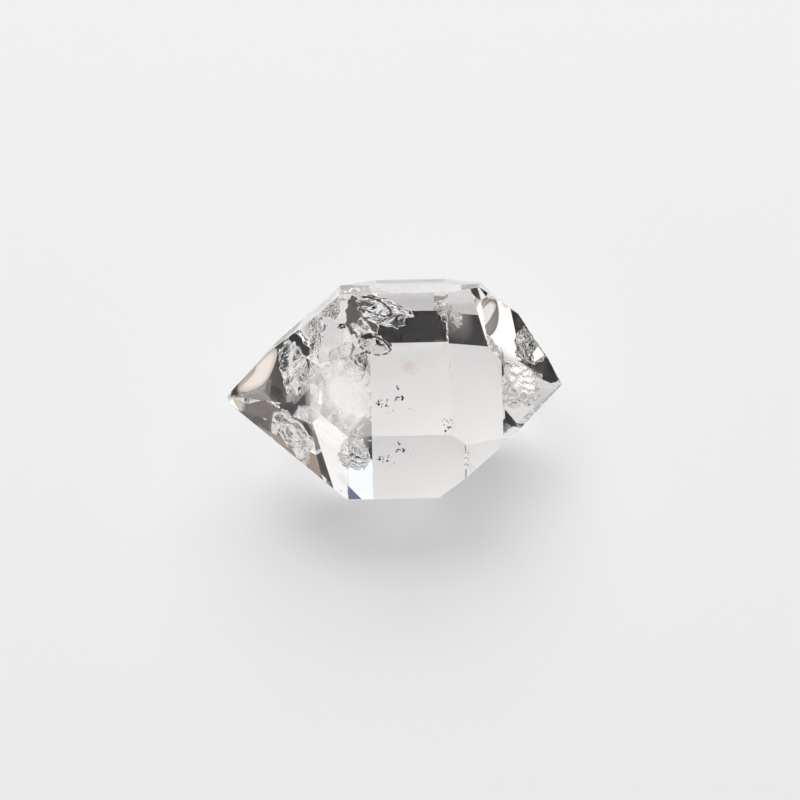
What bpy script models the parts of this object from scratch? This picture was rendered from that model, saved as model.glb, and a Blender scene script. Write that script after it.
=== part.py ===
# Herkimer diamond: a short, clear quartz crystal with a natural point at both ends.
# It lies on its bottom prism face. The long axis, the crystal's c axis, runs along X, and the
# face it rests on is at Z = 0. The origin is under the middle of the bounding box.

import math

import bmesh
import bpy
from mathutils import Matrix, Vector

MM = 0.001

# Driving dimensions, in millimetres.
# Each growth face lies this far from the middle of the crystal, measured along its own normal.
# The faces go round the long axis from the top, towards the front (-Y) and under.
PRISM_REACH = {
    "top": 8.13,
    "front_upper": 10.27,
    "front_lower": 8.46,
    "bottom": 8.13,
    "back_lower": 8.99,
    "back_upper": 9.71,
}
LEFT_REACH = {
    "top": 11.06,
    "front_upper": 10.71,
    "front_lower": 9.45,
    "bottom": 7.74,
    "back_lower": 7.98,
    "back_upper": 10.55,
}
RIGHT_REACH = {
    "top": 9.42,
    "front_upper": 11.93,
    "front_lower": 8.97,
    "bottom": 10.25,
    "back_lower": 10.02,
    "back_upper": 12.47,
}

# Quartz angles, in degrees: six prism faces round the axis, and an end face that leans this far
# in from the prism face below it.
PRISM_TURN = 60.0
END_LEAN = 38.2

# The two points are slightly broken, and so is the sharp corner behind the left one: the way each
# break faces, and how much of the crystal it took off, in millimetres.
BREAKS = {
    "left_point": {"facing": (-0.80, 0.42, 0.43), "depth": 0.22},
    "left_back_corner": {"facing": (-0.72, 0.62, 0.32), "depth": 0.38},
    "right_point": {"facing": (0.88, 0.30, 0.36), "depth": 0.26},
}

# Small shell-shaped nicks along the sharp edges. Each edge is named by the two faces that meet
# there. The places run from one end of the edge (0) to the other (1); sizes in millimetres.
EDGE_NICKS = [
    {"edge": ("right top", "right front_lower"), "places": (0.40, 0.58, 0.74), "radius": 0.80, "depth": 0.15},
    {"edge": ("right top", "right back_lower"), "places": (0.36, 0.71), "radius": 0.60, "depth": 0.07},
    {"edge": ("prism front_upper", "right front_upper"), "places": (0.36, 0.55, 0.72), "radius": 0.50, "depth": 0.14},
    {"edge": ("left front_upper", "left front_lower"), "places": (0.33, 0.62), "radius": 0.80, "depth": 0.09},
]
NICK_ROUNDNESS = 3

# Old cracks inside the quartz. Each is a thin, flat lens of empty space: its centre, measured from
# the origin, and its two half lengths as directions, in millimetres. The last one is a rounder hollow.
CRACKS = {
    "left_veil": {
        "centre": (-8.37, 0.37, 12.89),
        "along": (-0.10, 2.83, -1.29),
        "across": (-1.04, 0.30, -1.47),
    },
    "front_veil": {
        "centre": (-8.37, -3.62, 9.42),
        "along": (-1.67, 1.09, 2.57),
        "across": (-0.77, 0.36, -1.97),
    },
    "back_leaf": {
        "centre": (-0.76, 5.53, 12.77),
        "along": (2.51, -1.39, 1.39),
        "across": (0.43, 1.37, -0.74),
    },
    "slate_flake": {
        "centre": (-2.76, 5.87, 10.25),
        "along": (0.03, 2.55, -1.49),
        "across": (-1.59, -0.06, 0.38),
    },
    "faint_veil": {
        "centre": (-4.16, 1.21, 10.43),
        "along": (1.92, 0.46, 0.99),
        "across": (-0.60, 1.75, 0.53),
    },
    "right_veil": {
        "centre": (11.00, 0.20, 8.62),
        "along": (0.68, -1.05, -2.57),
        "across": (1.44, 0.83, 0.32),
    },
    "front_upper_veil": {
        "centre": (-3.41, -7.05, 12.81),
        "along": (0.04, 0.95, 1.69),
        "across": (-1.01, 0.47, -0.61),
    },
    "oval_hollow": {
        "centre": (-1.75, 2.74, 11.41),
        "along": (1.47, -0.31, -0.01),
        "across": (0.20, 1.06, 0.03),
        "gap": 0.75,
    },
}
CRACK_GAP = 0.16
CRACK_ROUNDNESS = 3

# A hair-thin channel runs from each crack straight to the nearest face, as such channels do in quartz.
CHANNEL_RADIUS = 0.07
CHANNEL_SIDES = 6
CHANNEL_OVERSHOOT = 0.4

ROUGH_BLOCK = 60.0 * MM
CUT_TOLERANCE = 0.0000001
ON_FACE = 0.000002

QUARTZ_COLOR = (0.93, 0.94, 0.95, 1.0)
QUARTZ_ROUGHNESS = 0.03
QUARTZ_IOR = 1.544


def clear_scene():
    for old in list(bpy.data.objects):
        bpy.data.objects.remove(old, do_unlink=True)


def new_collection(name):
    collection = bpy.data.collections.new(name)
    bpy.context.scene.collection.children.link(collection)
    return collection


def quartz_material():
    material = bpy.data.materials.new("quartz")
    material.use_nodes = True
    shader = material.node_tree.nodes["Principled BSDF"]
    shader.inputs["Base Color"].default_value = QUARTZ_COLOR
    shader.inputs["Metallic"].default_value = 0.0
    shader.inputs["Roughness"].default_value = QUARTZ_ROUGHNESS
    shader.inputs["IOR"].default_value = QUARTZ_IOR
    shader.inputs["Transmission Weight"].default_value = 1.0
    return material


def prism_normal(index):
    turn = math.radians(PRISM_TURN * index)
    return Vector((0.0, -math.sin(turn), math.cos(turn)))


def end_normal(index, side):
    lean = math.radians(END_LEAN)
    return prism_normal(index) * math.cos(lean) + Vector((side * math.sin(lean), 0.0, 0.0))


def growth_faces():
    """Name, outward normal and distance from the middle of every flat face."""
    faces = {}
    for index, name in enumerate(PRISM_REACH):
        faces["prism " + name] = (prism_normal(index), PRISM_REACH[name] * MM)
    for index, name in enumerate(LEFT_REACH):
        faces["left " + name] = (end_normal(index, -1.0), LEFT_REACH[name] * MM)
    for index, name in enumerate(RIGHT_REACH):
        faces["right " + name] = (end_normal(index, 1.0), RIGHT_REACH[name] * MM)
    return faces


def cut_flat(solid, normal, reach):
    """Take off everything beyond one plane and close the cut with a flat face."""
    everything = solid.verts[:] + solid.edges[:] + solid.faces[:]
    cut = bmesh.ops.bisect_plane(
        solid,
        geom=everything,
        dist=CUT_TOLERANCE,
        plane_co=normal * reach,
        plane_no=normal,
        clear_outer=True,
    )
    rim = [item for item in cut["geom_cut"] if isinstance(item, bmesh.types.BMEdge)]
    bmesh.ops.edgeloop_fill(solid, edges=rim)


def break_corners(solid):
    """A small flat break takes the extreme corner off in each break's direction."""
    for broken in BREAKS.values():
        facing = Vector(broken["facing"]).normalized()
        farthest = max(facing.dot(corner.co) for corner in solid.verts)
        cut_flat(solid, facing, farthest - broken["depth"] * MM)


def shared_edge(solid, faces, names):
    """The two corners of the edge where two named faces meet, from left to right."""
    ends = []
    for corner in solid.verts:
        gaps = [abs(faces[name][0].dot(corner.co) - faces[name][1]) for name in names]
        if max(gaps) < ON_FACE:
            ends.append(corner.co.copy())
    ends.sort(key=lambda end: (round(end.x, 5), round(end.z, 5)))
    return ends[0], ends[-1]


def nick_centres(solid, faces):
    """Where the round cutters sit: just outside the edges, so that each one takes a shallow bite."""
    centres = []
    for nick in EDGE_NICKS:
        start, end = shared_edge(solid, faces, nick["edge"])
        outward = (faces[nick["edge"][0]][0] + faces[nick["edge"][1]][0]).normalized()
        for place in nick["places"]:
            centre = start.lerp(end, place) + outward * (nick["radius"] - nick["depth"]) * MM
            centres.append((centre, nick["radius"] * MM))
    return centres


def footprint_shift(solid):
    """The move that puts the resting face at Z = 0 and the bounding box's middle over the origin."""
    xs = [corner.co.x for corner in solid.verts]
    ys = [corner.co.y for corner in solid.verts]
    zs = [corner.co.z for corner in solid.verts]
    return Vector((-(min(xs) + max(xs)) / 2.0, -(min(ys) + max(ys)) / 2.0, -min(zs)))


def ball_shape(place, roundness):
    """A ball of radius 1, moved, stretched and turned by the matrix."""
    ball = bmesh.new()
    bmesh.ops.create_icosphere(ball, subdivisions=roundness, radius=1.0, matrix=place)
    return ball


def crack_place(crack):
    """The matrix that turns a ball of radius 1 into the crack's thin lens."""
    along = Vector(crack["along"]) * MM
    across = Vector(crack["across"]) * MM
    facing = along.cross(across).normalized() * crack.get("gap", CRACK_GAP) * MM / 2.0
    place = Matrix((along, across, facing)).transposed().to_4x4()
    place.translation = Vector(crack["centre"]) * MM
    return place


def channel_shape(start, faces, shift):
    """A thin rod from the middle of a crack to just outside the nearest face."""
    rooms = {name: reach - normal.dot(start - shift) for name, (normal, reach) in faces.items()}
    nearest = min(rooms, key=rooms.get)
    way = faces[nearest][0]
    length = rooms[nearest] + CHANNEL_OVERSHOOT * MM
    place = Matrix.Translation(start + way * length / 2.0) @ way.to_track_quat("Z", "Y").to_matrix().to_4x4()
    rod = bmesh.new()
    bmesh.ops.create_cone(
        rod,
        cap_ends=True,
        segments=CHANNEL_SIDES,
        radius1=CHANNEL_RADIUS * MM,
        radius2=CHANNEL_RADIUS * MM,
        depth=length,
        matrix=place,
    )
    return rod


def cut_away(crystal, name, shape, collection):
    """Take the shape out of the crystal, and keep it as a named cutter."""
    mesh = bpy.data.meshes.new(name)
    shape.to_mesh(mesh)
    shape.free()
    cutter = bpy.data.objects.new(name, mesh)
    cutter.display_type = "WIRE"
    cutter.hide_render = True
    collection.objects.link(cutter)
    bite = crystal.modifiers.new(name, "BOOLEAN")
    bite.operation = "DIFFERENCE"
    bite.solver = "EXACT"
    bite.object = cutter


def make_crystal(collection, cutters):
    faces = growth_faces()
    solid = bmesh.new()
    bmesh.ops.create_cube(solid, size=ROUGH_BLOCK)
    for normal, reach in faces.values():
        cut_flat(solid, normal, reach)
    nicks = nick_centres(solid, faces)
    break_corners(solid)
    shift = footprint_shift(solid)
    bmesh.ops.translate(solid, vec=shift, verts=solid.verts[:])
    bmesh.ops.recalc_face_normals(solid, faces=solid.faces[:])

    mesh = bpy.data.meshes.new("crystal")
    solid.to_mesh(mesh)
    solid.free()
    mesh.materials.append(quartz_material())
    crystal = bpy.data.objects.new("crystal", mesh)
    collection.objects.link(crystal)

    for number, (centre, radius) in enumerate(nicks):
        place = Matrix.Translation(centre + shift) @ Matrix.Scale(radius, 4)
        cut_away(crystal, "nick_cutter_%02d" % number, ball_shape(place, NICK_ROUNDNESS), cutters)
    for name, crack in CRACKS.items():
        place = crack_place(crack)
        cut_away(crystal, name + "_cutter", ball_shape(place, CRACK_ROUNDNESS), cutters)
        cut_away(crystal, name + "_channel", channel_shape(place.translation, faces, shift), cutters)
    return crystal


def main():
    clear_scene()
    parts = new_collection("herkimer_diamond")
    cutters = new_collection("cutters")
    make_crystal(parts, cutters)


main()
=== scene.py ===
import math
import random

import bmesh
import bpy
from mathutils import Matrix, Vector, noise
from mathutils.bvhtree import BVHTree


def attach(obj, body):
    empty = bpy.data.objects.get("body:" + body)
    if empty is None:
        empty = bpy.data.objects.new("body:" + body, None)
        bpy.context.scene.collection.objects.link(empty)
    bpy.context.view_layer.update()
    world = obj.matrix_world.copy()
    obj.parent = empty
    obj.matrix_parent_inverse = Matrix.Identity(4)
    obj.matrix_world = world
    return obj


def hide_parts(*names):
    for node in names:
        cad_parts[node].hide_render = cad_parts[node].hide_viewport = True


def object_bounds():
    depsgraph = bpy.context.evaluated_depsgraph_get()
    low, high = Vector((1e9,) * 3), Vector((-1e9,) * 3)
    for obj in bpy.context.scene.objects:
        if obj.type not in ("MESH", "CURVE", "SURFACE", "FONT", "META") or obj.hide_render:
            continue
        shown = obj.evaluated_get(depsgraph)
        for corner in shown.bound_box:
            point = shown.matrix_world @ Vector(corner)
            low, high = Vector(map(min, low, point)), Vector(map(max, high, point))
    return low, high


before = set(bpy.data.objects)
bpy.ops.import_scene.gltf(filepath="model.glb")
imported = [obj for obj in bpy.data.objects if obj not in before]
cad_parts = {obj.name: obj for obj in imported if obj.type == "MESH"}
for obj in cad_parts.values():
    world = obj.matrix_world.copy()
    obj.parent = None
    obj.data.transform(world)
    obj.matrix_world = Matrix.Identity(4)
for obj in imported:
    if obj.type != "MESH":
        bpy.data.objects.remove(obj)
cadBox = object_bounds()
mm = 0.001
print("frame loaded, crystal box", cadBox)


# how the picture is taken
cameraLook = {
    "imageSide": 800,
    "sensor": 36.0,
    "clip": (0.01, 20.0),
    "distance": 0.7,
    "elevation": 69.0,
    "roll": 1.2,  # degrees that the crystal's long axis climbs to the right in the picture
    "pixelsPerMm": 11.058,  # at the crystal
    "crystalPixel": (395.11, 393.66),  # where the box's middle lands
}


def makeCamera(look):
    boxMiddle = Vector((0.0, 0.0, (cadBox[0][2] + cadBox[1][2]) / 2))
    lift = math.radians(look["elevation"])
    toCamera = Vector((0.0, -math.cos(lift), math.sin(lift)))
    right = Vector((1.0, 0.0, 0.0))
    up = toCamera.cross(right)
    turn = math.radians(look["roll"])
    pictureRight = right * math.cos(turn) - up * math.sin(turn)
    pictureUp = right * math.sin(turn) + up * math.cos(turn)
    mmPerPixel = mm / look["pixelsPerMm"]
    offRight, offDown = (pixel - look["imageSide"] / 2 for pixel in look["crystalPixel"])
    aim = boxMiddle - pictureRight * offRight * mmPerPixel + pictureUp * offDown * mmPerPixel
    data = bpy.data.cameras.new("camera")
    data.sensor_width = look["sensor"]
    data.lens = look["sensor"] * look["distance"] / (look["imageSide"] * mmPerPixel)
    data.clip_start, data.clip_end = look["clip"]
    camera = bpy.data.objects.new("camera", data)
    turned = Matrix((pictureRight, pictureUp, toCamera)).transposed()
    camera.matrix_world = Matrix.Translation(aim + toCamera * look["distance"]) @ turned.to_4x4()
    bpy.context.scene.collection.objects.link(camera)
    bpy.context.scene.camera = camera


makeCamera(cameraLook)

# light has to cross many faces and cracks before it gets back out
lightPaths = {
    "max_bounces": 24,
    "transmission_bounces": 24,
    "glossy_bounces": 12,
    "diffuse_bounces": 4,
    "transparent_max_bounces": 16,
    "sample_clamp_indirect": 6.0,
}
for setting, value in lightPaths.items():
    setattr(bpy.context.scene.cycles, setting, value)
bpy.context.scene.view_settings.view_transform = "Standard"
print("camera placed")


# a material, its node tree and its Principled shader
def newMaterial(name):
    material = bpy.data.materials.new(name)
    material.use_nodes = True
    return material, material.node_tree, material.node_tree.nodes["Principled BSDF"]


def mapRange(tree, fromRange, toRange):
    node = tree.nodes.new("ShaderNodeMapRange")
    node.inputs["From Min"].default_value, node.inputs["From Max"].default_value = fromRange
    node.inputs["To Min"].default_value, node.inputs["To Max"].default_value = toRange
    return node


floorLook = {
    "size": 3.0,
    "below": 0.05 * mm,  # just under the crystal, so that the two don't touch
    "color": (0.86, 0.86, 0.87),
    "roughness": 0.6,
}


def makeFloor(look):
    bpy.ops.mesh.primitive_plane_add(size=look["size"], location=(0, 0, -look["below"]))
    floor = bpy.context.object
    floor.name = "floor"
    material, _, shader = newMaterial("paleTable")
    shader.inputs["Base Color"].default_value = (*look["color"], 1)
    shader.inputs["Roughness"].default_value = look["roughness"]
    floor.data.materials.append(material)


makeFloor(floorLook)


# soft lights: direction from the crystal and size, in degrees, and brightness
# a fill lights the table only; the crystal's faces mirror and bend the others
lightLook = {
    "reach": 1.2,
    "panels": {
        "overheadFill": {"azimuth": 92, "elevation": 64, "wide": 62, "high": 40, "glow": 3.85,
                         "tint": (1.0, 0.995, 0.985), "fill": True},
        "backSoftbox": {"azimuth": 88, "elevation": 40, "wide": 60, "high": 22, "glow": 1.6,
                        "tint": (1.0, 0.99, 0.97), "fill": True},
        "leftWindow": {"azimuth": -154, "elevation": 33, "wide": 26, "high": 14, "glow": 1.12,
                       "tint": (1.0, 1.0, 1.0), "fill": False},
        "leftSill": {"azimuth": -154, "elevation": 21, "wide": 26, "high": 10, "glow": 0.78,
                     "tint": (0.96, 0.97, 1.0), "fill": False},
        "backLeftWindow": {"azimuth": 173.776, "elevation": 47.556, "wide": 4, "high": 7, "glow": 1.1,
                           "tint": (1.0, 1.0, 1.0), "turn": -20.7, "fill": False},
        "backCeiling": {"azimuth": 104, "elevation": 62, "wide": 8, "high": 8, "glow": 1.0,
                        "tint": (1.0, 0.99, 0.97), "fill": False},
        "rightCeiling": {"azimuth": 28.5, "elevation": 60, "wide": 8, "high": 8, "glow": 1.5,
                         "tint": (1.0, 0.99, 0.98), "fill": False},
        "leftCeiling": {"azimuth": 151.5, "elevation": 60, "wide": 7, "high": 7, "glow": 0.6,
                        "tint": (1.0, 0.99, 0.98), "fill": False},
        "rightLow": {"azimuth": -16, "elevation": 6, "wide": 21, "high": 10, "glow": 0.95,
                     "tint": (1.0, 0.965, 0.93), "fill": False},
        "rightSky": {"azimuth": 25, "elevation": 40, "wide": 26, "high": 16, "glow": 1.2,
                     "tint": (0.90, 0.94, 1.0), "fill": False},
        "highLamp": {"azimuth": -19, "elevation": 63, "wide": 9, "high": 9, "glow": 1.9,
                     "tint": (1.0, 1.0, 0.99), "fill": False},
        "frontDim": {"azimuth": -52, "elevation": 34, "wide": 16, "high": 14, "glow": 0.15,
                     "tint": (1.0, 0.97, 0.95), "fill": False},
        "mauveCeiling": {"azimuth": 19, "elevation": 74, "wide": 8, "high": 8, "glow": 0.15,
                         "tint": (1.0, 0.80, 0.75), "fill": False},
        "brownShelf": {"azimuth": 25, "elevation": 6.5, "wide": 10, "high": 7, "glow": 0.20,
                       "tint": (1.0, 0.76, 0.60), "fill": False},
        "backGrey": {"azimuth": 80, "elevation": 15, "wide": 14, "high": 9, "glow": 0.27,
                     "tint": (1.0, 1.0, 0.95), "fill": False},
    },
}


def makePanel(name, panel, reach):
    az, el = math.radians(panel["azimuth"]), math.radians(panel["elevation"])
    way = Vector((math.cos(az) * math.cos(el), math.sin(az) * math.cos(el), math.sin(el)))
    light = bpy.data.lights.new(name, "AREA")
    light.shape = "RECTANGLE"
    light.size = 2 * reach * math.tan(math.radians(panel["wide"] / 2))
    light.size_y = 2 * reach * math.tan(math.radians(panel["high"] / 2))
    light.energy = panel["glow"] * light.size * light.size_y * math.pi
    light.color = panel["tint"]
    lamp = bpy.data.objects.new(name, light)
    lamp.location = way * reach
    turn = Matrix.Rotation(math.radians(panel.get("turn", 0)), 3, "Z")
    lamp.rotation_euler = (way.to_track_quat("Z", "Y").to_matrix() @ turn).to_euler()
    lamp.visible_camera = False
    lamp.visible_transmission = not panel["fill"]
    lamp.visible_glossy = not panel["fill"]
    bpy.context.scene.collection.objects.link(lamp)


for name, panel in lightLook["panels"].items():
    makePanel(name, panel, lightLook["reach"])


# the room: dark overhead, pale low down on the left, brown and dim low down on the right
roomLook = {
    "lowLeft": (0.62, 0.62, 0.63),
    "lowRight": (0.125, 0.110, 0.103),
    "overhead": (0.022, 0.020, 0.020),
    "lowUntil": 0.10,  # sine of the elevation
    "darkFrom": 0.50,
    "leftFrom": -0.55,  # how far left or right the way points, from -1 to 1
    "rightFrom": 0.35,
    "backdrop": (0.86, 0.86, 0.87),
}


def makeRoom(look):
    world = bpy.data.worlds.new("room")
    bpy.context.scene.world = world
    world.use_nodes = True
    tree = world.node_tree
    tree.nodes.clear()
    link = tree.links.new
    way = tree.nodes.new("ShaderNodeTexCoord")
    split = tree.nodes.new("ShaderNodeSeparateXYZ")
    link(way.outputs["Generated"], split.inputs[0])
    side = mapRange(tree, (look["leftFrom"], look["rightFrom"]), (0, 1))
    link(split.outputs["X"], side.inputs["Value"])
    low = tree.nodes.new("ShaderNodeMix")
    low.data_type = "RGBA"
    low.inputs["A"].default_value = (*look["lowLeft"], 1)
    low.inputs["B"].default_value = (*look["lowRight"], 1)
    link(side.outputs["Result"], low.inputs["Factor"])
    fade = mapRange(tree, (look["lowUntil"], look["darkFrom"]), (0, 1))
    link(split.outputs["Z"], fade.inputs["Value"])
    mix = tree.nodes.new("ShaderNodeMix")
    mix.data_type = "RGBA"
    mix.inputs["B"].default_value = (*look["overhead"], 1)
    link(low.outputs["Result"], mix.inputs["A"])
    link(fade.outputs["Result"], mix.inputs["Factor"])
    room = tree.nodes.new("ShaderNodeBackground")
    link(mix.outputs["Result"], room.inputs["Color"])
    seen = tree.nodes.new("ShaderNodeBackground")
    seen.inputs["Color"].default_value = (*look["backdrop"], 1)
    path = tree.nodes.new("ShaderNodeLightPath")
    choose = tree.nodes.new("ShaderNodeMixShader")
    link(path.outputs["Is Camera Ray"], choose.inputs["Fac"])
    link(room.outputs[0], choose.inputs[1])
    link(seen.outputs[0], choose.inputs[2])
    out = tree.nodes.new("ShaderNodeOutputWorld")
    link(choose.outputs[0], out.inputs["Surface"])


makeRoom(roomLook)
print("floor, lights and room made")


quartzLook = {
    "merge": 0.002 * mm,
    "wallArea": 1.0 * mm * mm,  # a triangle larger than this lies on one of the outer faces
    "skin": 0.18 * mm,  # nicks are shallower than this, cracks lie deeper
    "flatWithin": 0.5,  # degrees: triangles this level with each other become one face
    "ior": 1.544,
    "roughness": 0.0,
    "tint": (1.0, 0.990, 0.980),
    "deepTint": (0.996, 0.984, 0.968),  # the quartz is a little warmer in places
    "tintScale": 120.0,
    # share of a lamp's light that passes a face on its way to the table
    "lampThroughSide": 0.84,  # prism faces: the normal's X is near nothing
    "lampThroughEnd": 0.66,
    "sideUntil": 0.20,
    "endFrom": 0.50,
    "lampThroughLevel": 1.30,  # the resting face: light that the crystal gathers under it
    "levelFrom": -0.55,  # the normal's Z
    "levelFully": -0.75,
}


# a colour that drifts between two tints through the piece
def driftingTintGroup():
    group = bpy.data.node_groups.new("driftingTint", "ShaderNodeTree")
    group.interface.new_socket("Tint", in_out="INPUT", socket_type="NodeSocketColor")
    group.interface.new_socket("Other Tint", in_out="INPUT", socket_type="NodeSocketColor")
    group.interface.new_socket("Scale", in_out="INPUT", socket_type="NodeSocketFloat")
    group.interface.new_socket("Color", in_out="OUTPUT", socket_type="NodeSocketColor")
    given = group.nodes.new("NodeGroupInput")
    result = group.nodes.new("NodeGroupOutput")
    place = group.nodes.new("ShaderNodeTexCoord")
    cloud = group.nodes.new("ShaderNodeTexNoise")
    mix = group.nodes.new("ShaderNodeMix")
    mix.data_type = "RGBA"
    link = group.links.new
    link(place.outputs["Object"], cloud.inputs["Vector"])
    link(given.outputs["Scale"], cloud.inputs["Scale"])
    link(cloud.outputs["Fac"], mix.inputs["Factor"])
    link(given.outputs["Tint"], mix.inputs["A"])
    link(given.outputs["Other Tint"], mix.inputs["B"])
    link(mix.outputs["Result"], result.inputs["Color"])
    return group


driftingTint = driftingTintGroup()


def addDrift(tree, tint, otherTint, scale):
    drift = tree.nodes.new("ShaderNodeGroup")
    drift.node_tree = driftingTint
    drift.inputs["Tint"].default_value = (*tint, 1)
    drift.inputs["Other Tint"].default_value = (*otherTint, 1)
    drift.inputs["Scale"].default_value = scale
    tree.links.new(drift.outputs["Color"], tree.nodes["Principled BSDF"].inputs["Base Color"])


# glass would throw a full shadow: lamps shine through it to the table instead
def letLampsThrough(tree):
    through = tree.nodes.new("ShaderNodeBsdfTransparent")
    path = tree.nodes.new("ShaderNodeLightPath")
    choose = tree.nodes.new("ShaderNodeMixShader")
    tree.links.new(path.outputs["Is Shadow Ray"], choose.inputs["Fac"])
    tree.links.new(tree.nodes["Principled BSDF"].outputs["BSDF"], choose.inputs[1])
    tree.links.new(through.outputs["BSDF"], choose.inputs[2])
    tree.links.new(choose.outputs["Shader"], tree.nodes["Material Output"].inputs["Surface"])
    return through


def quartzMaterial(look):
    material, tree, shader = newMaterial("clearQuartz")
    shader.inputs["Roughness"].default_value = look["roughness"]
    shader.inputs["IOR"].default_value = look["ior"]
    shader.inputs["Transmission Weight"].default_value = 1.0
    addDrift(tree, look["tint"], look["deepTint"], look["tintScale"])
    through = letLampsThrough(tree)
    side, end, level = look["lampThroughSide"], look["lampThroughEnd"], look["lampThroughLevel"]
    place = tree.nodes.new("ShaderNodeNewGeometry")
    tilt = tree.nodes.new("ShaderNodeSeparateXYZ")
    sideways = tree.nodes.new("ShaderNodeMath")
    sideways.operation = "ABSOLUTE"
    sideOrEnd = mapRange(tree, (look["sideUntil"], look["endFrom"]), (side, end))
    under = mapRange(tree, (look["levelFrom"], look["levelFully"]), (end, level))
    most = tree.nodes.new("ShaderNodeMath")
    most.operation = "MAXIMUM"
    link = tree.links.new
    link(place.outputs["Normal"], tilt.inputs[0])
    link(tilt.outputs["X"], sideways.inputs[0])
    link(sideways.outputs["Value"], sideOrEnd.inputs["Value"])
    link(tilt.outputs["Z"], under.inputs["Value"])
    link(sideOrEnd.outputs["Result"], most.inputs[0])
    link(under.outputs["Result"], most.inputs[1])
    link(most.outputs[0], through.inputs["Color"])
    return material


# a finished mesh becomes a piece that rides with the crystal
def addPiece(name, mesh):
    piece = bpy.data.objects.new(name, mesh)
    bpy.context.scene.collection.objects.link(piece)
    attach(piece, "root")
    return piece


def makeCrystal(look):
    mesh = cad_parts["crystal"].data.copy()
    mesh.name = "crystalBody"
    solid = bmesh.new()
    solid.from_mesh(mesh)
    bmesh.ops.remove_doubles(solid, verts=solid.verts[:], dist=look["merge"])
    # the solid's smooth cracks and channels give way to the finer gaps made further down
    outer = [face for face in solid.faces if face.calc_area() > look["wallArea"]]
    walls = [(face.normal.copy(), face.calc_center_median()) for face in outer]
    inner = [
        face
        for face in solid.faces
        if all((spot - face.calc_center_median()).dot(normal) > look["skin"] for normal, spot in walls)
    ]
    bmesh.ops.delete(solid, geom=inner, context="FACES")
    bmesh.ops.holes_fill(solid, edges=[edge for edge in solid.edges if edge.is_boundary])
    level = math.radians(look["flatWithin"])
    bmesh.ops.dissolve_limit(solid, angle_limit=level, verts=solid.verts[:], edges=solid.edges[:])
    solid.to_mesh(mesh)
    solid.free()
    mesh.materials.clear()
    mesh.materials.append(quartzMaterial(look))
    mesh.shade_flat()
    crystal = addPiece("crystalBody", mesh)
    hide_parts("crystal")
    return mesh


crystalMesh = makeCrystal(quartzLook)
crystalWalls = BVHTree.FromPolygons(
    [vertex.co for vertex in crystalMesh.vertices], [face.vertices for face in crystalMesh.polygons]
)
print("crystal made")


# a thin closed lens: two sheets of rings round a middle that share their edge
# marks gives the values of the named point attributes, ring by ring
def lensMesh(name, rings, spokes, point, attributes=(), marks=None):
    lens = bmesh.new()
    layers = [lens.verts.layers.float.new(attribute) for attribute in attributes]
    edge = [lens.verts.new(point(rings, spoke, 0)) for spoke in range(spokes)]
    for side in (1, -1):
        sheet = [[lens.verts.new(point(0, 0, side))]]
        for ring in range(1, rings):
            sheet.append([lens.verts.new(point(ring, spoke, side)) for spoke in range(spokes)])
        sheet.append(edge)
        for ring, loop in enumerate(sheet if marks else ()):
            for vert in loop:
                for layer, value in zip(layers, marks(ring, side)):
                    vert[layer] = value
        for spoke in range(spokes):
            after = (spoke + 1) % spokes
            lens.faces.new((sheet[0][0], sheet[1][spoke], sheet[1][after]))
            for inner, outer in zip(sheet[1:], sheet[2:]):
                lens.faces.new((inner[spoke], outer[spoke], outer[after], inner[after]))
    bmesh.ops.recalc_face_normals(lens, faces=lens.faces[:])
    mesh = bpy.data.meshes.new(name)
    lens.to_mesh(mesh)
    lens.free()
    mesh.shade_smooth()
    return mesh


# how far a lens bulges, from 1 in its middle to 0 at its edge
def bulge(out):
    return math.sqrt(1 - out ** 3)


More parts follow.
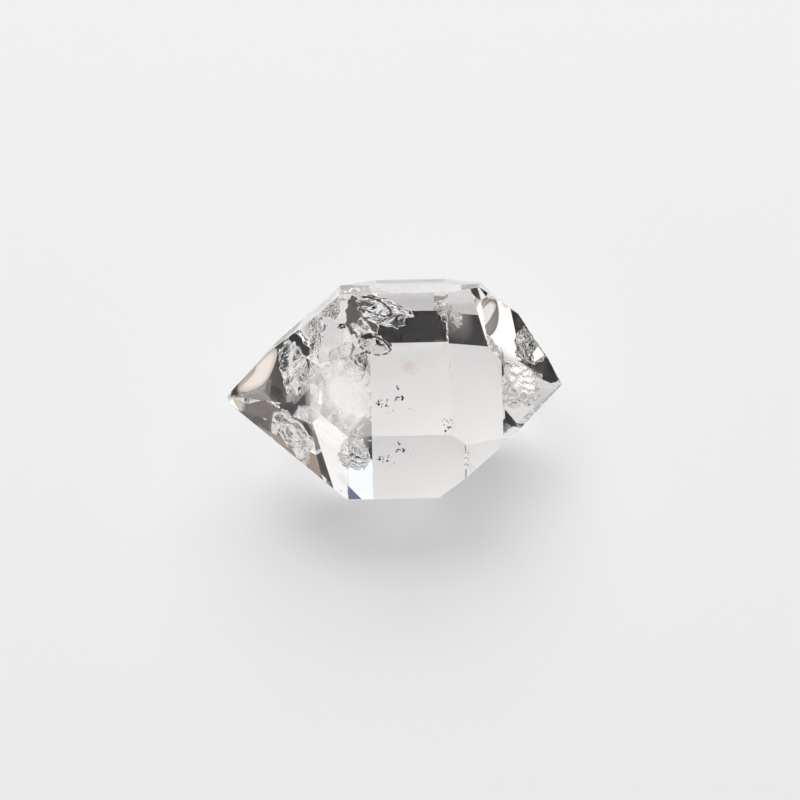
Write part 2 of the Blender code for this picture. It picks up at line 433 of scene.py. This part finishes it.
# thin gaps of air inside the quartz: they throw light back like crumpled foil
# places and half lengths are in mm; a gap lies in the plane of its two half axes
airLook = {
    "ior": 1 / quartzLook["ior"],
    "tint": (1.0, 1.0, 1.0),
    "roughness": 0.0,
    "filmTint": (0.94, 0.91, 0.88),  # the old cracks carry a thin film in places
    "filmScale": 1500.0,
    "rings": 44,
    "spokes": 132,
    "ragged": 0.30,  # how far the rim wanders, as a share of its reach
    "raggedScale": 1.6,
    "raggedDetail": 3.1,
    "raggedDetailShare": 0.5,
    "foldScale": 2.3,  # sharp folds, and finer creases on them, beside the broad waves
    "foldBias": 0.5,
    "creaseScale": 5.1,
    "creaseShare": 0.4,
    "seedStep": (7.3, 3.1, 0),
    "wallMargin": 0.10,
}
crackLook = {
    "leftVeil": {
        "centre": (-8.37, 0.37, 12.89), "along": (-0.10, 2.83, -1.29), "across": (-1.04, 0.30, -1.47),
        "gap": 0.08, "relief": 0.6, "grain": 0.8, "fine": 0.14, "seed": 3,
    },
    "frontVeil": {
        "centre": (-8.37, -3.62, 9.42), "along": (-1.67, 1.09, 2.57), "across": (-0.77, 0.36, -1.97),
        "gap": 0.08, "relief": 0.5, "grain": 0.8, "fine": 0.14, "seed": 11,
    },
    "backLeaf": {
        "centre": (-0.76, 5.53, 12.77), "along": (2.51, -1.39, 1.39), "across": (0.43, 1.37, -0.74),
        "gap": 0.10, "relief": 0.7, "grain": 0.5, "fine": 0.08, "seed": 23,
    },
    "slateFlake": {
        "centre": (-2.76, 5.87, 10.25), "along": (0.03, 2.55, -1.49), "across": (-1.59, -0.06, 0.38),
        "gap": 0.05, "relief": 0.03, "grain": 0.5, "fine": 0.1, "seed": 5,
    },
    "upperVeil": {
        "centre": (-5.47, 6.30, 12.38), "along": (0.78, 1.09, -0.24), "across": (-0.52, 0.58, -0.53),
        "gap": 0.07, "relief": 0.9, "grain": 0.9, "fine": 0.2, "seed": 29,
    },
    "ovalVoid": {
        "centre": (-1.70, 2.67, 11.90), "along": (1.43, -0.17, 0.0), "across": (-0.16, 1.02, 0.0),
        "gap": 0.6, "relief": 0.0, "grain": 0.8, "fine": 0.1, "seed": 41,
    },
    "rightVeil": {
        "centre": (11.00, 0.20, 8.62), "along": (0.68, -1.05, -2.57), "across": (1.44, 0.83, 0.32),
        "gap": 0.08, "relief": 0.22, "grain": 1.6, "fine": 0.3, "seed": 31,
    },
    "stripVeil": {
        "centre": (-3.41, -7.05, 12.81), "along": (0.04, 0.95, 1.69), "across": (-1.01, 0.47, -0.61),
        "gap": 0.08, "relief": 0.6, "grain": 0.85, "fine": 0.2, "seed": 37,
    },
    "smallSpark": {
        "centre": (4.92, 4.96, 13.40), "along": (0.77, -1.06, 0.62), "across": (0.60, 0.22, 0.30),
        "gap": 0.07, "relief": 0.34, "grain": 1.4, "fine": 0.2, "seed": 43,
    },
    "faintVeil": {
        "centre": (-4.16, 1.21, 10.43), "along": (1.92, 0.46, 0.99), "across": (-0.60, 1.75, 0.53),
        "gap": 0.05, "relief": 0.02, "grain": 0.7, "fine": 0.8, "seed": 47,
    },
}


def airMaterial(look):
    material, tree, shader = newMaterial("airGap")
    shader.inputs["Roughness"].default_value = look["roughness"]
    shader.inputs["IOR"].default_value = look["ior"]
    shader.inputs["Transmission Weight"].default_value = 1.0
    addDrift(tree, look["tint"], look["filmTint"], look["filmScale"])
    letLampsThrough(tree)
    return material


# creases of several sizes, as on foil that was pressed flat again
def crumple(spot, look):
    folds = 2 * abs(noise.noise(spot * airLook["foldScale"])) - airLook["foldBias"]
    creases = airLook["creaseShare"] * noise.noise(spot * airLook["creaseScale"])
    return look["relief"] * (noise.noise(spot) + look["fine"] * (folds + creases))


# how far each spoke goes out: a ragged rim that stays inside the crystal
def spokeReaches(centre, along, across, shift):
    reaches = []
    for spoke in range(airLook["spokes"]):
        angle = 2 * math.pi * spoke / airLook["spokes"]
        way = along * math.cos(angle) + across * math.sin(angle)
        bend = shift + airLook["raggedScale"] * Vector((math.cos(angle), math.sin(angle), 0))
        detail = airLook["raggedDetailShare"] * noise.noise(bend * airLook["raggedDetail"])
        rim = 1 + airLook["ragged"] * (noise.noise(bend) + detail)
        room = crystalWalls.ray_cast(centre * mm, way.normalized())[3]
        if room is not None:
            rim = min(rim, (room / mm - airLook["wallMargin"]) / way.length)
        reaches.append(way * rim)
    return reaches


def makeGap(name, look, material):
    centre, along, across = (Vector(look[part]) for part in ("centre", "along", "across"))
    facing = along.cross(across).normalized()
    shift = look["seed"] * Vector(airLook["seedStep"])
    reaches = spokeReaches(centre, along, across, shift)

    def point(ring, spoke, side):
        out = ring / airLook["rings"]
        flat = reaches[spoke] * out
        height = crumple(flat * look["grain"] + shift, look) + side * look["gap"] / 2 * bulge(out)
        return (centre + flat + facing * height) * mm

    mesh = lensMesh(name, airLook["rings"], airLook["spokes"], point)
    mesh.materials.append(material)
    addPiece(name, mesh)


air = airMaterial(airLook)
for name, look in crackLook.items():
    makeGap(name, look, air)
print("air gaps made")


# milky and stained places, most of them just under the faces; some are painted light: painted reflections,
# painted shade, a painted highlight and a painted glow
# each lies in a plane: its centre, the way it faces, and its outline in mm, measured in that plane
# cover is how dense the middle gets, soft the share of the way in that this takes
# scatter is a painted glow: emission in the patch's own tint, though nothing there is a lamp;
# paintedGlowBehind is the share of that glow on the side that faces away
milkAndPaintedLightLook = {
    "thick": 0.06,
    "rings": 10,
    "smoothing": 2,
    "wallMargin": 0.06,
    "roughness": 0.7,
    "cloudScale": 900.0,
    "cloudDetail": 6.0,
    "cloudShare": 0.5,  # how much the cloud pattern eats into the soft edge
    "clearRim": 0.15,
    "rimTintUntil": 0.35,
    "patches": {
        # painted reflection: a cream patch with a brown rim stands in for the lit table seen through a chipped
        # face at the upper left
        "creamLeaf": {
            "centre": (-11.99, 0.73, 12.46), "facing": (-0.618, 0.0, 0.786),
            "outline": [(-2.96, -1.21), (-2.0, -0.67), (-0.81, -0.01), (-0.5, 0.99), (0.4, 1.54), (1.23, 1.91),
                        (2.05, 1.79), (2.06, 1.01), (1.73, 0.22), (1.24, -0.63), (0.46, -1.45), (-0.78, -1.77),
                        (-2.14, -1.71)],
            "tint": (0.82, 0.775, 0.74), "rimTint": (0.52, 0.43, 0.36),
            "soft": 0.14, "cover": 1.0, "paintedGlow": 0.04,
        },
        # painted shade: a grey strip between the cream patch and the edge, with a painted glow that lightens
        # its underside where the right end mirrors it
        "leafShade": {
            "centre": (-12.27, 1.0, 12.04), "facing": (-0.618, 0.0, 0.786),
            "outline": [(-2.54, -1.4), (-2.11, -0.63), (-0.38, 0.44), (0.46, 1.2), (1.41, 1.64), (2.35, 1.64),
                        (2.51, 0.86), (0.66, -0.61), (-0.41, -1.31), (-1.95, -1.84)],
            "tint": (0.42, 0.39, 0.365), "rimTint": (0.34, 0.31, 0.28),
            "soft": 0.10, "cover": 0.9, "paintedGlow": 0.3,
        },
        # painted glow: a bright sheet under the leaf, hidden from above, gives the mirrored underside its
        # light
        "leafUnder": {
            "centre": (-12.13, 1.0, 11.86), "facing": (-0.618, 0.0, 0.786),
            "outline": [(-2.29, -1.26), (-1.9, -0.57), (-0.34, 0.4), (0.41, 1.08), (1.27, 1.48), (2.12, 1.48),
                        (2.26, 0.77), (0.59, -0.55), (-0.37, -1.18), (-1.76, -1.66)],
            "tint": (0.90, 0.875, 0.85), "rimTint": (0.60, 0.57, 0.55),
            "soft": 0.5, "cover": 1.0, "paintedGlow": 0.6,
        },
        # its painted glow lightens it
        "tipMilk": {
            "centre": (-13.99, -1.46, 10.34), "facing": (-0.618, -0.681, 0.393),
            "outline": [(-1.13, 0.34), (-0.42, 0.68), (0.33, 0.63), (0.9, 0.31), (0.7, -0.49), (0.16, -0.92),
                        (-0.53, -0.55)],
            "tint": (0.74, 0.70, 0.60), "rimTint": (0.62, 0.55, 0.46),
            "soft": 1.2, "cover": 0.95, "paintedGlow": 0.28,
        },
        # its painted glow makes it whiter than the lamps alone would
        "whiteChip": {
            "centre": (12.91, 2.91, 9.68), "facing": (0.618, 0.0, 0.786),
            "outline": [(-0.71, -0.18), (0.1, 0.86), (0.39, 0.96), (1.03, 0.24), (0.2, -0.4), (-0.59, -1.04),
                        (-0.42, -0.45)],
            "tint": (0.97, 0.97, 0.96), "rimTint": (0.85, 0.80, 0.76),
            "soft": 0.10, "cover": 1.0, "paintedGlow": 0.30,
        },
        # painted highlight: a glowing white sheet behind the right crack gives it the bright look of foil that
        # mirrors the lamps; only its front glows
        "rightMilk": {
            "centre": (10.81, 0.61, 8.4), "facing": (0.376, -0.819, 0.434),
            "outline": [(0.71, -2.70), (1.53, -1.64), (1.62, 0.17), (0.95, 1.92), (-0.15, 2.76), (-1.20, 2.31),
                        (-1.68, 0.78), (-1.37, -1.12), (-0.43, -2.50)],
            "tint": (0.97, 0.97, 0.96), "rimTint": (0.94, 0.93, 0.92),
            "soft": 0.5, "cover": 0.95, "paintedGlow": 0.8, "paintedGlowBehind": 0,
        },
        "paleCloud": {
            "centre": (-4.8, -1.67, 10.27), "facing": (0.0, 0.0, 1.0),
            "outline": [(-1.9, 1.39), (-1.3, 3.01), (0.38, 3.68), (2.57, 3.16), (2.69, -0.15), (2.62, -3.8),
                        (0.45, -3.7), (-0.9, -2.3), (-1.9, -0.97)],
            "tint": (0.90, 0.885, 0.87), "rimTint": (0.89, 0.87, 0.85),
            "soft": 1.0, "cover": 0.30, "paintedGlow": 0.0,
        },
        # painted reflection: a blue patch under the front face stands in for the sky mirrored in a facet
        "blueGlint": {
            "centre": (-4.02, -10.48, 10.22), "facing": (0.0, -0.866, 0.5), "smoothing": 0,
            "outline": [(-0.48, 1.50), (-0.50, -0.62), (1.25, -0.66)],
            "tint": (0.40, 0.52, 0.76), "rimTint": (0.44, 0.55, 0.78),
            "soft": 0.08, "cover": 0.95, "paintedGlow": 0.0,
        },
        "pinkStain": {
            "centre": (1.39, 2.05, 5.27), "facing": (0.0, 0.0, 1.0),
            "outline": [(-0.73, 1.06), (0.81, 0.79), (1.01, -0.64), (-0.11, -1.09), (-0.98, -0.12)],
            "tint": (0.62, 0.50, 0.47), "rimTint": (0.70, 0.62, 0.60),
            "soft": 1.0, "cover": 0.22, "paintedGlow": 0.0,
        },
    },
}


def milkAndPaintedLightMaterial(name, look):
    material, tree, shader = newMaterial(name)
    shader.inputs["Roughness"].default_value = milkAndPaintedLightLook["roughness"]
    # painted glow: the patch gives off light of its own
    shader.inputs["Emission Strength"].default_value = look["paintedGlow"]
    place = tree.nodes.new("ShaderNodeTexCoord")
    cloud = tree.nodes.new("ShaderNodeTexNoise")
    cloud.inputs["Scale"].default_value = milkAndPaintedLightLook["cloudScale"]
    cloud.inputs["Detail"].default_value = milkAndPaintedLightLook["cloudDetail"]
    inward = tree.nodes.new("ShaderNodeAttribute")
    inward.attribute_name = "inward"
    ragged = tree.nodes.new("ShaderNodeMath")
    ragged.operation = "MULTIPLY_ADD"
    ragged.inputs[1].default_value = milkAndPaintedLightLook["cloudShare"] * look["soft"]
    edge = mapRange(tree, (milkAndPaintedLightLook["clearRim"] * look["soft"], look["soft"]), (0, look["cover"]))
    edge.interpolation_type = "SMOOTHSTEP"
    toMiddle = mapRange(tree, (0, milkAndPaintedLightLook["rimTintUntil"]), (0, 1))
    tint = tree.nodes.new("ShaderNodeMix")
    tint.data_type = "RGBA"
    tint.inputs["A"].default_value = (*look["rimTint"], 1)
    tint.inputs["B"].default_value = (*look["tint"], 1)
    # the painted glow is full on the front side and takes the given share on the back
    lit = tree.nodes.new("ShaderNodeAttribute")
    lit.attribute_name = "lit"
    glow = tree.nodes.new("ShaderNodeMix")
    glow.data_type = "RGBA"
    glow.inputs["A"].default_value = (0, 0, 0, 1)
    link = tree.links.new
    link(place.outputs["Object"], cloud.inputs["Vector"])
    link(cloud.outputs["Fac"], ragged.inputs[0])
    link(inward.outputs["Fac"], ragged.inputs[2])
    link(ragged.outputs["Value"], edge.inputs["Value"])
    link(edge.outputs["Result"], shader.inputs["Alpha"])
    link(inward.outputs["Fac"], toMiddle.inputs["Value"])
    link(toMiddle.outputs["Result"], tint.inputs["Factor"])
    link(tint.outputs["Result"], shader.inputs["Base Color"])
    link(tint.outputs["Result"], glow.inputs["B"])
    link(lit.outputs["Fac"], glow.inputs["Factor"])
    link(glow.outputs["Result"], shader.inputs["Emission Color"])
    return material


# cuts each corner off a quarter of the way along, again and again
def rounded(outline, times):
    for _ in range(times):
        ahead = outline[1:] + outline[:1]
        outline = [spot for a, b in zip(outline, ahead) for spot in (a.lerp(b, 0.25), a.lerp(b, 0.75))]
    return outline


def makePatch(name, look):
    centre, facing = Vector(look["centre"]), Vector(look["facing"]).normalized()
    across = Vector((1, 0, 0))
    across = (across - facing * across.dot(facing)).normalized()
    along = facing.cross(across)
    rim = []
    corners = [Vector(corner) for corner in look["outline"]]
    for spot in rounded(corners, look.get("smoothing", milkAndPaintedLightLook["smoothing"])):
        way = across * spot.x + along * spot.y
        room = crystalWalls.ray_cast(centre * mm, way.normalized())[3]
        rim.append(way.normalized() * min(way.length, room / mm - milkAndPaintedLightLook["wallMargin"]))

    def point(ring, spoke, side):
        out = ring / milkAndPaintedLightLook["rings"]
        return (centre + rim[spoke] * out + facing * side * milkAndPaintedLightLook["thick"] / 2 * bulge(out)) * mm

    def marks(ring, side):
        return 1 - ring / milkAndPaintedLightLook["rings"], 1 if side > 0 else look.get("paintedGlowBehind", 1)

    mesh = lensMesh(name, milkAndPaintedLightLook["rings"], len(rim), point, ("inward", "lit"), marks)
    mesh.materials.append(milkAndPaintedLightMaterial(name, look))
    addPiece(name, mesh)


for name, look in milkAndPaintedLightLook["patches"].items():
    makePatch(name, look)
print("milky patches made")


# dark mineral grains: loose clusters; and dark grains as painted dark reflections: the crust in the left
# point, the cap under the oval hollow and the wing mark
# centre and spread in mm, how many grains, and the smallest and largest radius in mm
grainAndDarkReflectionLook = {
    "clusters": {
        "middle": {
            "centre": (0.26, 0.17, 4.71), "spread": (0.12, 0.16, 0.08), "count": 4, "sizes": (0.09, 0.15),
        },
        "lowMiddle": {
            "centre": (0.34, -0.90, 4.89), "spread": (0.38, 0.26, 0.10), "count": 12, "sizes": (0.06, 0.13),
        },
        "left": {
            "centre": (-1.18, -1.02, 3.60), "spread": (0.55, 0.40, 0.12), "count": 17, "sizes": (0.05, 0.13),
        },
        "lowLeft": {
            "centre": (-0.30, -1.95, 3.90), "spread": (0.50, 0.20, 0.10), "count": 5, "sizes": (0.03, 0.06),
        },
        "lowRight": {
            "centre": (1.45, -2.19, 5.71), "spread": (0.30, 0.25, 0.10), "count": 5, "sizes": (0.03, 0.06),
        },
        "nearTop": {
            "centre": (4.62, -6.10, 15.75), "spread": (0.55, 0.60, 0.10), "count": 16, "sizes": (0.06, 0.12),
        },
        # painted dark reflection: a crust of dark grains where the broken tip mirrors something dark
        "leftPointDarkReflection": {
            "centre": (-14.44, -0.42, 10.42), "spread": (0.42, 0.26, 0.18), "count": 90, "sizes": (0.10, 0.18),
        },
        # painted dark reflection: the black cap under the oval hollow
        "voidCapDarkReflection": {
            "centre": (-2.39, 3.47, 12.10), "spread": (0.46, 0.15, 0.05), "count": 44, "sizes": (0.08, 0.14),
        },
        # painted dark reflection: the dark wing beside the oval hollow
        "wingDarkReflection": {
            "centre": (-4.68, 4.17, 13.27), "spread": (0.28, 0.20, 0.08), "count": 26, "sizes": (0.07, 0.13),
        },
    },
    # beads in a row: dark beads along the rim of the oval hollow are a painted dark reflection of its mirrored
    # rim; dark films over the leaf-shaped crack
    # from and to are in degrees round the oval; shown is the share of each group of beads
    "beadGroup": 10,
    "rims": {
        "void": {
            "centre": (-1.70, 2.67, 12.0), "along": (1.43, -0.17, 0.0), "across": (-0.16, 1.02, 0.0),
            "from": 0, "to": 360, "count": 110, "shown": 0.6, "sizes": (0.07, 0.10),
        },
        "voidTop": {
            "centre": (-1.70, 2.67, 12.05), "along": (1.30, -0.40, 0.0), "across": (-0.10, 0.78, 0.0),
            "from": 0, "to": 110, "count": 44, "shown": 1.0, "sizes": (0.07, 0.10),
        },
        "lensTop": {
            "centre": (-1.68, 5.92, 13.67), "along": (1.44, -0.70, 0.0), "across": (0.21, 0.64, 0.0),
            "from": -20, "to": 150, "count": 60, "shown": 1.0, "sizes": (0.08, 0.13),
        },
        "lensBottom": {
            "centre": (-1.68, 5.92, 13.67), "along": (1.44, -0.70, 0.0), "across": (0.21, 0.64, 0.0),
            "from": 250, "to": 335, "count": 34, "shown": 0.8, "sizes": (0.06, 0.10),
        },
    },
    "color": (0.030, 0.024, 0.020),
    "paleColor": (0.07, 0.052, 0.042),
    "mottleScale": 9000.0,
    "roughness": 0.35,
    "room": 1.6,  # a grain stays this many of its radii inside the faces
    "squash": ((0.6, 0.6, 0.5), (1.3, 1.1, 0.9)),  # least and most, along a grain's own three ways
    "lumps": 0.08,
    "lumpScale": 9000.0,
    "lumpReach": 0.2 * mm,  # how far a lump of 1 moves the surface
    "smoothness": 3,
    "seed": 17,
}


def grainAndDarkReflectionMaterial(look):
    material, tree, shader = newMaterial("darkGrain")
    shader.inputs["Roughness"].default_value = look["roughness"]
    addDrift(tree, look["color"], look["paleColor"], look["mottleScale"])
    return material


# one uneven grain on every point, sized by the point's own value
def grainTree(look, material):
    tree = bpy.data.node_groups.new("grainsOnPoints", "GeometryNodeTree")
    tree.interface.new_socket("Geometry", in_out="INPUT", socket_type="NodeSocketGeometry")
    lumps = tree.interface.new_socket("Lumps", in_out="INPUT", socket_type="NodeSocketFloat")
    seed = tree.interface.new_socket("Seed", in_out="INPUT", socket_type="NodeSocketInt")
    tree.interface.new_socket("Geometry", in_out="OUTPUT", socket_type="NodeSocketGeometry")
    link = tree.links.new
    given = tree.nodes.new("NodeGroupInput")
    result = tree.nodes.new("NodeGroupOutput")
    grain = tree.nodes.new("GeometryNodeMeshIcoSphere")
    grain.inputs["Radius"].default_value = 1.0
    grain.inputs["Subdivisions"].default_value = look["smoothness"]
    size = tree.nodes.new("GeometryNodeInputNamedAttribute")
    size.data_type = "FLOAT"
    size.inputs["Name"].default_value = "size"
    squash = tree.nodes.new("FunctionNodeRandomValue")
    squash.data_type = "FLOAT_VECTOR"
    squash.inputs["Min"].default_value, squash.inputs["Max"].default_value = look["squash"]
    scale = tree.nodes.new("ShaderNodeVectorMath")
    scale.operation = "SCALE"
    turn = tree.nodes.new("FunctionNodeRandomValue")
    turn.data_type = "FLOAT_VECTOR"
    turn.inputs["Max"].default_value = (6.28, 6.28, 6.28)  # once round each axis
    place = tree.nodes.new("GeometryNodeInstanceOnPoints")
    real = tree.nodes.new("GeometryNodeRealizeInstances")
    rough = tree.nodes.new("ShaderNodeTexNoise")
    rough.inputs["Scale"].default_value = look["lumpScale"]
    centred = tree.nodes.new("ShaderNodeVectorMath")
    centred.operation = "SUBTRACT"
    centred.inputs[1].default_value = (0.5, 0.5, 0.5)  # the pattern's middle grey
    push = tree.nodes.new("ShaderNodeVectorMath")
    push.operation = "SCALE"
    lumpSize = tree.nodes.new("ShaderNodeMath")
    lumpSize.operation = "MULTIPLY"
    lumpSize.inputs[1].default_value = look["lumpReach"]
    move = tree.nodes.new("GeometryNodeSetPosition")
    finish = tree.nodes.new("GeometryNodeSetMaterial")
    finish.inputs["Material"].default_value = material
    link(given.outputs["Geometry"], place.inputs["Points"])
    link(grain.outputs["Mesh"], place.inputs["Instance"])
    link(given.outputs["Seed"], squash.inputs["Seed"])
    link(given.outputs["Seed"], turn.inputs["Seed"])
    link(squash.outputs["Value"], scale.inputs[0])
    link(size.outputs["Attribute"], scale.inputs["Scale"])
    link(scale.outputs["Vector"], place.inputs["Scale"])
    link(turn.outputs["Value"], place.inputs["Rotation"])
    link(place.outputs["Instances"], real.inputs["Geometry"])
    link(real.outputs["Geometry"], move.inputs["Geometry"])
    link(rough.outputs["Color"], centred.inputs[0])
    link(centred.outputs["Vector"], push.inputs[0])
    link(given.outputs["Lumps"], lumpSize.inputs[0])
    link(lumpSize.outputs["Value"], push.inputs["Scale"])
    link(push.outputs["Vector"], move.inputs["Offset"])
    link(move.outputs["Geometry"], finish.inputs["Geometry"])
    link(finish.outputs["Geometry"], result.inputs["Geometry"])
    return tree, {"lumps": lumps.identifier, "seed": seed.identifier}


def makeGrains(look):
    chance = random.Random(look["seed"])
    points, sizes = [], []
    for rim in look["rims"].values():
        for number in range(rim["count"]):
            angle = math.radians(rim["from"] + (rim["to"] - rim["from"]) * number / rim["count"])
            step = Vector(rim["along"]) * math.cos(angle) + Vector(rim["across"]) * math.sin(angle)
            if number % look["beadGroup"] < look["beadGroup"] * rim["shown"]:
                points.append((Vector(rim["centre"]) + step) * mm)
                sizes.append(chance.uniform(*rim["sizes"]) * mm)
    for cluster in look["clusters"].values():
        low, high = cluster["sizes"]
        for _ in range(cluster["count"]):
            step = Vector([chance.uniform(-1, 1) * wide for wide in cluster["spread"]])
            spot = (Vector(cluster["centre"]) + step) * mm
            size = (low + (high - low) * chance.random() ** 2) * mm  # most grains are small
            wall, outward = crystalWalls.find_nearest(spot)[:2]
            if (wall - spot).dot(outward) > look["room"] * size:
                points.append(spot)
                sizes.append(size)
    cloud = bpy.data.meshes.new("grainPoints")
    cloud.from_pydata(points, [], [])
    cloud.attributes.new("size", "FLOAT", "POINT").data.foreach_set("value", sizes)
    source = bpy.data.objects.new("grainPoints", cloud)
    bpy.context.scene.collection.objects.link(source)
    tree, sockets = grainTree(look, grainAndDarkReflectionMaterial(look))
    grow = source.modifiers.new("grains", "NODES")
    grow.node_group = tree
    grow[sockets["lumps"]] = look["lumps"]
    grow[sockets["seed"]] = look["seed"]
    ready = source.evaluated_get(bpy.context.evaluated_depsgraph_get())
    mesh = bpy.data.meshes.new_from_object(ready)
    mesh.name = "darkGrains"
    bpy.data.objects.remove(source)
    mesh.shade_smooth()
    addPiece("darkGrains", mesh)


makeGrains(grainAndDarkReflectionLook)
print("dark grains made")
